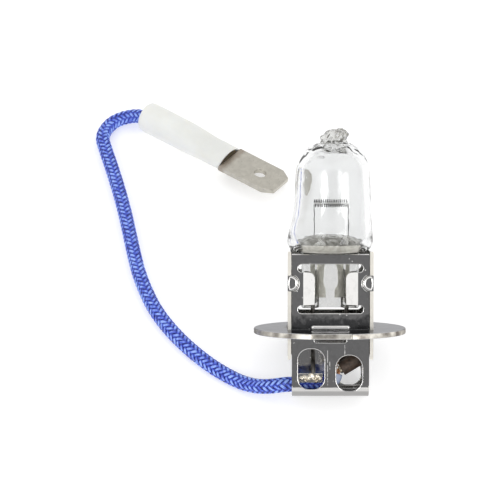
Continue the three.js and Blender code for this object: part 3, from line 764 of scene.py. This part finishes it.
def holder_plating():
    """Bright nickel: sooted above the flange, with painted shade on the side and rear walls, cream and rough
    where sheared.
    """
    graph = polished_metal("holder_plating", (0.92, 0.91, 0.89), (0.82, 0.81, 0.79))
    bright = graph.shader.inputs["Base Color"].links[0].from_socket
    height = graph.along(bulb_axis)
    depth = graph.along(bulb_back)
    sideways = graph.distance(graph.along(bulb_side), 0.0)

    ragged = graph.calc(height, graph.calc(graph.noise(1.3, 5.0), 3.0, "MULTIPLY"))
    soot = graph.product(
        graph.range(ragged, *SOOT_TOP, 1.0, 0.0),
        graph.range(height, *SOOT_FOOT, 0.0, 1.0),
        graph.calc(depth, PLATE_DEPTHS[1], "LESS_THAN"),
        graph.calc(depth, PLATE_DEPTHS[0], "GREATER_THAN"),
    )
    sooted = graph.mixed(soot, bright, SOOT_COLOUR)
    toe = graph.range(height, *TOE_HEIGHTS, 1.0, 0.0)
    plated = graph.mixed(toe, sooted, TOE_COLOUR)

    # painted shade: the side and rear walls get a darker copy of the nickel
    side_wall = graph.product(
        graph.calc(sideways, WALL_X, "GREATER_THAN"), graph.calc(depth, STRIP_DEPTH, "GREATER_THAN"),
    )
    outside = graph.calc(side_wall, graph.calc(depth, REAR_DEPTH, "GREATER_THAN"), "MAXIMUM")
    wall_shaded = graph.mixed(outside, plated, WALL_SHADE_COLOUR)

    tab_x = graph.calc(sideways, -CLINCH_X)
    tab_z = graph.calc(height, -CLINCH_Z)
    squares = graph.calc(graph.product(tab_x, tab_x), graph.product(tab_z, tab_z))
    sheared = graph.product(
        graph.calc(sideways, STRIP_X, "GREATER_THAN"),
        graph.calc(depth, STRIP_DEPTH, "LESS_THAN"),
        graph.calc(graph.calc(squares, 0.5, "POWER"), CLINCH_R + 0.02, "GREATER_THAN"),
    )
    graph.colour(graph.mixed(sheared, wall_shaded, SHEARED_COLOUR))
    smooth = graph.shader.inputs["Roughness"].links[0].from_socket
    graph.roughness(graph.calc(smooth, graph.calc(sheared, 0.36, "MULTIPLY")))

    worn = graph.dust
    for x, low, high in SCRATCHES:
        scratch = graph.product(
            graph.range(graph.distance(graph.along(bulb_side), x), 0.03, 0.07, 0.55, 0.0),
            graph.calc(height, low, "GREATER_THAN"),
            graph.calc(height, high, "LESS_THAN"),
            graph.range(graph.noise(2.5, 3.0), 0.4, 0.5, 0.0, 1.0),
        )
        worn = graph.calc(worn, scratch, "SUBTRACT")
    graph.feed(graph.shader, "Metallic", worn)
    return graph.material


def flange_plating():
    """Duller nickel; the sheared rim is rougher and mottled, with painted shade at its left end."""
    light, dark = (0.6, 0.605, 0.615), (0.52, 0.525, 0.53)
    graph = polished_metal("flange_plating", light, dark, (0.04, 0.1), 0.03)
    graph.shader.inputs["Specular Tint"].default_value = (0.32, 0.32, 0.33, 1)
    face = graph.shader.inputs["Base Color"].links[0].from_socket
    dot = graph.new("ShaderNodeVectorMath", operation="DOT_PRODUCT")
    graph.feed(dot, 0, graph.new("ShaderNodeNewGeometry").outputs["True Normal"])
    graph.feed(dot, 1, bulb_axis)
    flatness = graph.distance(dot.outputs["Value"], 0.0)
    rim = graph.range(flatness, 0.2, 0.8, 1.0, 0.0)
    sheared = graph.colours(graph.noise(0.6, 4.0), [
        (0.35, (0.22, 0.2, 0.18)), (0.5, (0.5, 0.47, 0.42)), (0.65, (0.8, 0.77, 0.7)),
    ])
    # painted shade: the rim darkens towards its left end
    shaded_left_end = graph.range(graph.along(bulb_side), -10.8, -6.5, 0.55, 0.0)
    graph.colour(graph.mixed(rim, face, graph.mixed(shaded_left_end, sheared, (0.3, 0.29, 0.27, 1))))
    graph.roughness(graph.range(rim, 0.0, 1.0, 0.06, 0.36))
    return graph.material


nickel = holder_plating()
for node, edge, finish, slot in (
    ("front_shell", 0.09, nickel, "holder_nickel"),
    ("rear_shell", 0.1, nickel, "holder_nickel"),
    ("flange", 0.14, flange_plating(), "flange_nickel"),
):
    refined(node, node + "_pressed", edge, finish, 3)


DOME_FACE = -3.82  # the depth that the domes rise from
DOME_RISE = 0.15
DOME_INWARD = 0.98  # how far a dome reaches towards the plate's middle, and outwards
DOME_OUTWARD = 0.32
DOME_STEPS = 12


def make_clinch_domes():
    """The low swelling in each half-round tab, flat in its middle."""
    radii = [math.sin(math.pi / 2 * k / DOME_STEPS) for k in range(DOME_STEPS)]
    upper = [(r, DOME_RISE * math.sqrt(1 - r ** 5)) for r in radii]
    profile = [(r, -rise) for r, rise in upper] + [(1.0, 0.0)] + upper[::-1]
    domes = []
    for side in (-1, 1):
        dome = turned("dome", profile, 40)
        for vertex in dome.vertices:
            x, y, rise = vertex.co / MM
            reach = DOME_OUTWARD if x * side > 0 else DOME_INWARD
            vertex.co = Vector((side * CLINCH_X + reach * x, DOME_FACE - rise, CLINCH_Z + y)) * MM
        domes.append(dome)
    piece = finished("clinch_domes", joined(domes, "clinch_domes"), BULB, nickel, 60)


make_clinch_domes()


# ---- Glass capsule ------------------------------------------------------------------------------
# Heights and radii in the bulb's own frame, in mm.
OUTSIDE_PROFILE = [
    (0, 10.95), (2.5, 10.93), (4.3, 10.95), (5.2, 11.08), (5.85, 11.5), (6.2, 12.2), (6.2, 12.9),
    (5.98, 14.4), (5.72, 16.2), (5.56, 18.2), (5.44, 20.6), (5.3, 22.9), (5.08, 23.8), (4.6, 24.8),
    (4.0, 25.6), (3.3, 26.2), (2.5, 26.55), (1.95, 26.8), (1.85, 27.2), (1.95, 27.75), (1.6, 28.3),
    (0.8, 28.55), (0, 28.6),
]
HOLLOW_PROFILE = [
    (0, 13.3), (1.5, 13.25), (3.0, 12.95), (4.0, 12.45), (4.5, 12.0), (4.85, 12.05), (5.12, 12.6),
    (5.2, 13.4), (5.08, 14.5), (4.8, 16.0), (4.62, 18.0), (4.45, 21), (4.3, 22.9), (4.1, 23.5),
    (3.6, 24.3), (2.9, 24.95), (2.0, 25.5), (0.9, 25.85), (0, 25.9),
]
PROFILE_STEP = 0.2
PINCH_ROWS = [(3.0, 0.97), (3.12, 1.0), (9.8, 1.0), (10.35, 1.0), (10.6, 1.0), (11.5, 1.02)]  # height, scale
TIP_SEED = 21
TIP_FOOT = 26.2  # where the melted tip starts
LEAN = 0.42  # how far the dome leans to the right
TIP_LEAN = 0.35
BUMP_SCALE = 1.1
MOUND_R = 4.6
MOUND_HEIGHTS = (11.9, 13.45)
BAND_HEIGHTS = (11.0, 12.05)
BAND_X = 4.1
BAND_COLOUR = (0.36, 0.35, 0.31, 1)


def clear_quartz():
    """Clear quartz that turns to a clouded grey where the pinch and the melted tip were worked."""
    graph = Graph("quartz_glass", Roughness=0.0, IOR=1.458, Transmission_Weight=1.0)
    tints = [(0.3, (0.83, 0.835, 0.835)), (0.7, (0.85, 0.855, 0.855))]
    graph.colour(graph.colours(graph.noise(0.3, 2.0), tints))
    graph.bump(graph.noise(0.35, 2.0, (1, 1, 0.35)), 0.25 * MM, 0.3)
    clouded = graph.new("ShaderNodeBsdfPrincipled")
    clouded.inputs["Roughness"].default_value = 0.22
    clouded.inputs["Specular IOR Level"].default_value = 0.6
    swirl = graph.noise(0.75, 4.0, (1, 1, 1), 1.6)
    tones = [(0.3, (0.16, 0.155, 0.14)), (0.5, (0.5, 0.485, 0.43)), (0.68, (0.9, 0.89, 0.84))]
    at_band = graph.range(graph.along(bulb_axis), 12.0, 12.1, 0.8, 0.0)
    graph.feed(clouded, "Base Color", graph.mixed(at_band, graph.colours(swirl, tones), BAND_COLOUR))
    patchy = graph.range(graph.noise(1.4, 3.0), 0.35, 0.6, 0.88, 1.0)
    blend = graph.new("ShaderNodeMixShader")
    graph.feed(blend, 0, graph.product(graph.attribute("cloud"), patchy))
    graph.feed(blend, 1, graph.shader.outputs[0])
    graph.feed(blend, 2, clouded.outputs[0])
    surface = graph.tree.nodes["Material Output"].inputs["Surface"]
    graph.tree.links.new(blend.outputs[0], surface)
    return graph.material


def make_capsule():
    section = pinch_outline()
    vertices = []
    for height, grow in PINCH_ROWS:
        vertices += [(x * grow * MM, y * grow * MM, height * MM) for x, y in section]
    pinch = mesh_from("pinch", vertices, capped_faces(len(PINCH_ROWS), len(section)))
    body = turned("capsule", softened(OUTSIDE_PROFILE, PROFILE_STEP))
    body = combined(body, pinch, "UNION")
    body = combined(body, turned("hollow", softened(HOLLOW_PROFILE, PROFILE_STEP)), "DIFFERENCE")
    shape_by_flame(body)
    piece = finished("glass_capsule_quartz", body, BULB, clear_quartz(), 40)
    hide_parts("glass_capsule")


def shape_by_flame(mesh):
    """Leans the drawn dome, lumps the melted tip, and marks where the quartz is clouded."""
    noise.seed_set(TIP_SEED)  # without a seed noise_vector differs from run to run
    cloud = []
    for vertex in mesh.vertices:
        x, y, z = [c / MM for c in vertex.co]
        radius = math.hypot(x, y)
        lump = smoothstep(z, TIP_FOOT, 27.2)
        ripple = 0.24 * smoothstep(z, 23.2, 25.4) * (1 - lump)
        bumps = noise.noise_vector(Vector((x, y, z)) * BUMP_SCALE) * (0.5 * lump + 0.45 * ripple)
        lean = LEAN * smoothstep(z, 11.5, 19) + TIP_LEAN * lump * (z - TIP_FOOT) / 2.4
        rise = 0.28 * lump * x / 2
        vertex.co = Vector((x + lean, y, z + rise)) * MM + bumps * MM
        mound = radius < MOUND_R and MOUND_HEIGHTS[0] < z < MOUND_HEIGHTS[1]
        band = BAND_HEIGHTS[0] < z < BAND_HEIGHTS[1] and abs(x) < BAND_X and radius > MOUND_R
        elsewhere = 0.2 if z < 10.6 else 0.3 * lump
        cloud.append(1.0 if mound or band else elsewhere)
    mesh.attributes.new("cloud", "FLOAT", "POINT").data.foreach_set("value", cloud)


def pinch_outline():
    """The pinch's section in mm: two round-cornered ribs joined by a thinner clear web."""
    web_x, web_y, rib_x, rib_y, r = 1.85, 1.25, 4.1, 2.4, 0.5
    flank = [
        (0.0, web_y), (web_x - 0.25, web_y), (web_x - 0.05, web_y + 0.2), (web_x + 0.1, rib_y - 0.25),
        (web_x + 0.35, rib_y),
    ]
    turns = [math.pi / 2 * k / 6 for k in range(7)]
    corner = [(rib_x - r + r * math.sin(t), rib_y - r + r * math.cos(t)) for t in turns]
    right_half = flank + corner
    lower = [(x, -y) for x, y in reversed(right_half)]
    left = [(-x, y) for x, y in reversed(right_half + lower)]
    outline = right_half + lower + left
    return list(dict.fromkeys((round(x, 6), round(y, 6)) for x, y in outline))


make_capsule()


# ---- Filament, foils and pins -------------------------------------------------------------------
COIL_TURNS = 16
COIL_LENGTH = 4.9
COIL_R = 0.53
LIGHT_CENTRE = 18.0
WIRE_R = 0.064
POINTS_PER_TURN = 20
LEG_X = 2.45
LEG_FOOT, LEG_TOP = 9.4, 16.6
FILAMENT_LEAN = 0.2  # the mount sits a little to the right of the axis


def drawn_tungsten():
    """Dark drawn wire, with a painted highlight along the middle of the coil where the turns face the front.
    """
    graph = Graph("tungsten_wire", Metallic=1.0)
    from_middle = graph.distance(graph.along(bulb_axis), LIGHT_CENTRE)
    # painted highlight: pale colour on the turns where they face the front
    middle = graph.range(from_middle, 0.06, 0.16, 1.0, 0.0)
    greys = [(0.3, (0.03, 0.03, 0.03)), (0.7, (0.09, 0.085, 0.08))]
    dark = graph.colours(graph.noise(3.0, 3.0), greys)
    graph.colour(graph.mixed(middle, dark, (0.85, 0.84, 0.82, 1)))
    graph.roughness(graph.range(middle, 0.0, 1.0, 0.35, 0.6))
    graph.bump(graph.noise(20.0, 2.0), 0.01 * MM)
    return graph.material


def make_filament():
    helix = []
    steps = COIL_TURNS * POINTS_PER_TURN
    for k in range(steps + 1):
        turn = 2 * math.pi * k / POINTS_PER_TURN
        x = -COIL_LENGTH / 2 + COIL_LENGTH * k / steps
        helix.append(Vector((x, -COIL_R * math.cos(turn), LIGHT_CENTRE + COIL_R * math.sin(turn))))
    left_leg = [Vector((-LEG_X, -0.35, z)) for z in np.linspace(LEG_FOOT, LEG_TOP, 14)]
    right_leg = [Vector((LEG_X, -0.35, z)) for z in np.linspace(LEG_TOP, LEG_FOOT, 14)]
    left_turn = [Vector((-LEG_X, -0.42, 17.3)), Vector((-LEG_X, -0.5, 17.8))]
    right_turn = [Vector((LEG_X, -0.5, 17.8)), Vector((LEG_X, -0.42, 17.3))]
    lean = Vector((FILAMENT_LEAN, 0, 0))
    line = [(p + lean) * MM for p in left_leg + left_turn + helix + right_turn + right_leg]
    mesh = swept("filament_coil", line, ring(WIRE_R * MM, 8))
    piece = finished("filament_coil", mesh, BULB, drawn_tungsten(), 70)
    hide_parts("filament")


make_filament()


FOIL_HALF_T = 0.02
FOIL_MIDDLE_X, FOIL_OUTER_X = 1.75, 2.8
FOIL_STEP = 0.12
INNER_EDGES = {  # heights, and how far from the middle the wavy inner edge lies there
    "foil_left": [(10.4, 0.6), (9.4, 0.5), (8.9, 0.8), (8.0, 0.86), (6.5, 0.9), (5.6, 0.64), (4.4, 0.6)],
    "foil_right": [(10.4, 0.7), (9.4, 0.6), (8.9, 0.98), (7.2, 1.14), (6.2, 1.1), (5.6, 0.72), (4.4, 0.69)],
}


def make_foils():
    """Thin foils with the wavy inner edges that the hot pinch leaves."""
    foil_metal = satin_metal(
        "molybdenum_foil", (0.97, 0.95, 0.86), (0.78, 0.76, 0.65), (0.3, 0.45), 1.6, 0.09,
    )
    for name, edge in INNER_EDGES.items():
        side = -1 if name == "foil_left" else 1
        curve = spline([Vector((z, x, 0)) for z, x in edge], FOIL_STEP)
        inner = [Vector((side * p.y, 0, p.x)) for p in curve]
        vertices, faces = [], []
        for p in inner:
            wave = 0.03 * math.sin(3.1 * p.z + side)
            for thickness in (-FOIL_HALF_T, FOIL_HALF_T):
                for x, bow in ((p.x, 0.0), (side * FOIL_MIDDLE_X, wave), (side * FOIL_OUTER_X, 0.0)):
                    vertices.append(Vector((x, thickness + bow, p.z)) * MM)
        rows = len(inner)
        for i in range(rows - 1):
            low, high = 6 * i, 6 * (i + 1)
            for a, b in ((0, 1), (1, 2), (2, 5), (5, 4), (4, 3), (3, 0)):
                faces.append((low + a, low + b, high + b, high + a))
        for end in (0, 6 * (rows - 1)):
            faces += [(end, end + 1, end + 4, end + 3), (end + 1, end + 2, end + 5, end + 4)]
        mesh = mesh_from(name + "_strip", vertices, faces)
        piece = finished(name + "_strip", mesh, BULB, foil_metal, 60)
        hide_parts(name)


make_foils()

# Pin routes are (x, depth, height) in the bulb's own frame, in mm.
PIN_R = 0.3 * MM
PIN_STEP = 0.25 * MM
GROUND_PIN = [
    (-2.45, 0.45, 6.0), (-2.45, 0.45, 3), (-2.45, 0.45, 0.4), (-2.45, 0.3, -1.6), (-2.45, -0.4, -3.4),
    (-2.45, -1.4, -4.9), (-2.45, -1.95, -6.0), (-2.45, -2.05, -7.0),
]
LIVE_PIN = [
    (2.45, 0.45, 6.0), (2.45, 0.45, 3), (2.45, 0.45, 0.4), (3.0, 0.2, -1.2), (4.0, -0.3, -2.4),
    (4.6, -0.7, -3.4), (4.403, -0.9, -4.302), (3.803, -0.9, -4.662), (2.774, -0.9, -5.28),
]
WELD_DEPTH = -2.78
WELD_SQUASH = 0.7
WELD_BEADS = [  # x, height and radius
    (-4.15, -7.1, 0.3), (-3.75, -6.95, 0.34), (-3.2, -7.15, 0.42), (-2.75, -6.8, 0.48),
    (-2.25, -7.1, 0.46), (-1.8, -6.85, 0.36), (-1.45, -7.15, 0.32), (-3.5, -7.45, 0.26), (-2.0, -7.5, 0.28),
]


def make_pins():
    dark_pin = satin_metal("pin_metal", (0.2, 0.19, 0.18), (0.06, 0.055, 0.05), (0.3, 0.5), 9.0, 0.02)
    for name, route in (("pin_ground", GROUND_PIN), ("pin_live", LIVE_PIN)):
        line = spline([Vector(p) * MM for p in route], PIN_STEP)
        mesh = swept(name + "_wire", line, ring(PIN_R, 20))
        piece = finished(name + "_wire", mesh, BULB, dark_pin, 60)
        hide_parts(name)


def make_ground_weld():
    """The beads of weld metal along the tab that the ground pin ends on."""
    weld_metal = satin_metal("weld_metal", (0.95, 0.9, 0.8), (0.4, 0.33, 0.22), (0.12, 0.3), 2.2, 0.06)
    meshes = []
    for x, z, r in WELD_BEADS:
        shape = bmesh.new()
        bmesh.ops.create_icosphere(shape, subdivisions=3, radius=1.0)
        for vertex in shape.verts:
            lump = 1 + 0.3 * noise.noise(vertex.co * 1.7 + Vector((x, z, 0)))
            co = vertex.co * r * lump
            vertex.co = Vector((x + co.x, WELD_DEPTH + WELD_SQUASH * co.y, z + co.z)) * MM
        mesh = bpy.data.meshes.new("bead")
        shape.to_mesh(mesh)
        shape.free()
        meshes.append(mesh)
    piece = finished("ground_weld_beads", joined(meshes, "ground_weld_beads"), BULB, weld_metal, 60)


def make_splice():
    brown = Graph("splice_tube", Roughness=0.55)
    browns = [(0.3, (0.03, 0.018, 0.012)), (0.7, (0.1, 0.065, 0.045))]
    brown.colour(brown.colours(brown.noise(2.0, 4.0), browns))
    brown.bump(brown.noise(7.0, 3.0), 0.03 * MM)
    brass = satin_metal("ferrule_brass", (0.82, 0.72, 0.56), (0.55, 0.45, 0.32), (0.2, 0.35), 9.0, 0.01)
    refined("splice_insulator", "splice_insulator_tube", 0.06, brown.material, 2, 50)
    refined("splice_ferrule", "splice_ferrule_crimp", 0.04, brass, 2, 50)


make_pins()
make_ground_weld()
make_splice()


# ---- Floor and light ----------------------------------------------------------------------------
FLOOR_ALBEDO = 0.72
FLOOR_GLOW = 0.45  # the surface is lit from behind a little, as a light table is
FLOOR_SIZE = 3
SKY = 0.97
DIM_PATCH = (0.14, 0.14, 0.145, 1)
PATCH_TOWARDS = (0, -0.70, 0.714)
PATCH_EDGES = (0.90, 0.965)  # cosines of the angle from its middle, where it starts and is full
LAMPS_AIM = (0, 0.01, 0)


def make_floor():
    bpy.ops.mesh.primitive_plane_add(size=FLOOR_SIZE, location=(0, 0, FLOOR_Z))
    floor = bpy.context.object
    floor.name = "floor"
    paper = Graph("floor_paper", Roughness=0.9, Specular_IOR_Level=0.1, Emission_Strength=FLOOR_GLOW)
    paper.shader.inputs["Emission Color"].default_value = (1, 1, 1, 1)
    shade = (FLOOR_ALBEDO, FLOOR_ALBEDO, FLOOR_ALBEDO)
    duller = [0.98 * value for value in shade]
    paper.colour(paper.colours(paper.noise(0.02, 2.0), [(0.3, duller), (0.7, shade)]))
    floor.data.materials.append(paper.material)


def make_sky():
    """A white surround with a dim patch over the front, which the bright plating reflects as grey."""
    world = bpy.data.worlds.new("studio")
    bpy.context.scene.world = world
    world.use_nodes = True
    tree = world.node_tree
    background = tree.nodes["Background"]
    coordinates = tree.nodes.new("ShaderNodeTexCoord")
    dot = tree.nodes.new("ShaderNodeVectorMath")
    dot.operation = "DOT_PRODUCT"
    dot.inputs[1].default_value = Vector(PATCH_TOWARDS).normalized()
    tree.links.new(coordinates.outputs["Generated"], dot.inputs[0])
    ramp = tree.nodes.new("ShaderNodeValToRGB")
    ramp.color_ramp.elements[0].position = PATCH_EDGES[0]
    ramp.color_ramp.elements[0].color = (SKY, SKY, SKY, 1)
    ramp.color_ramp.elements[1].position = PATCH_EDGES[1]
    ramp.color_ramp.elements[1].color = DIM_PATCH
    tree.links.new(dot.outputs["Value"], ramp.inputs["Fac"])
    tree.links.new(ramp.outputs["Color"], background.inputs["Color"])
    background.inputs["Strength"].default_value = 1.0


def make_lamp(name, place, size, power):
    lamp = bpy.data.lights.new(name, "AREA")
    lamp.shape = "RECTANGLE"
    lamp.size, lamp.size_y = size
    lamp.energy = power
    obj = bpy.data.objects.new(name, lamp)
    obj.location = place
    heading = Vector(LAMPS_AIM) - Vector(place)
    obj.rotation_euler = heading.to_track_quat("-Z", "Y").to_euler()
    bpy.context.scene.collection.objects.link(obj)


make_floor()
make_sky()
make_lamp("softbox_left", (-0.242, -0.297, 0.321), (0.19, 0.17), 0.42)
make_lamp("softbox_right", (0.287, -0.278, 0.3), (0.25, 0.17), 0.55)
bpy.context.scene.view_settings.view_transform = "Standard"
